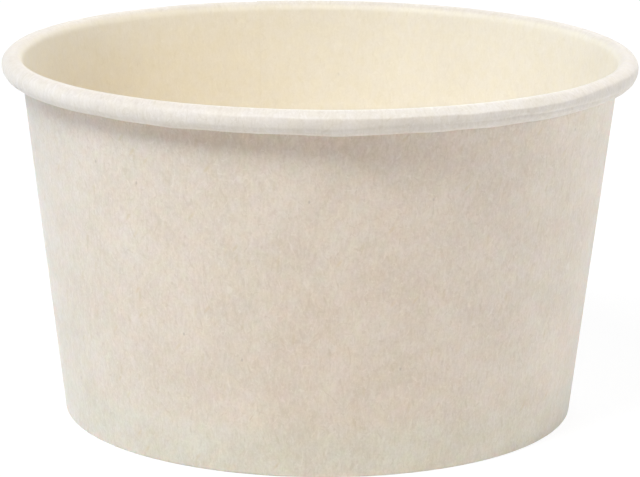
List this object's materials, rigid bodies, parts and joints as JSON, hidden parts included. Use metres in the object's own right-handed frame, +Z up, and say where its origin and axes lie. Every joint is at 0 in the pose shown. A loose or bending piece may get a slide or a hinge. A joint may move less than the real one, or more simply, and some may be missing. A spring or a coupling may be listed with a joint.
{
  "type": "paper ice cream tub",
  "caption": "Round tapered paper tub for ice cream: wrapped natural-board wall with rolled rim and glued side seam, and a recessed base held in the folded foot.",
  "frame": {"origin": "centre of the foot ring, on the plane the tub stands on", "axes": "+Z up along the tub's axis; -Y faces the viewer of the picture, +X is to the viewer's right; the side seam is near +Y"},
  "size_m": [0.095, 0.095, 0.0546],
  "materials": {
    "natural_board": "matte",
    "base_board": "matte"
  },
  "bodies": {
    "root": {"sidewall": "natural_board", "base_disc": "base_board"}
  },
  "joints": []
}
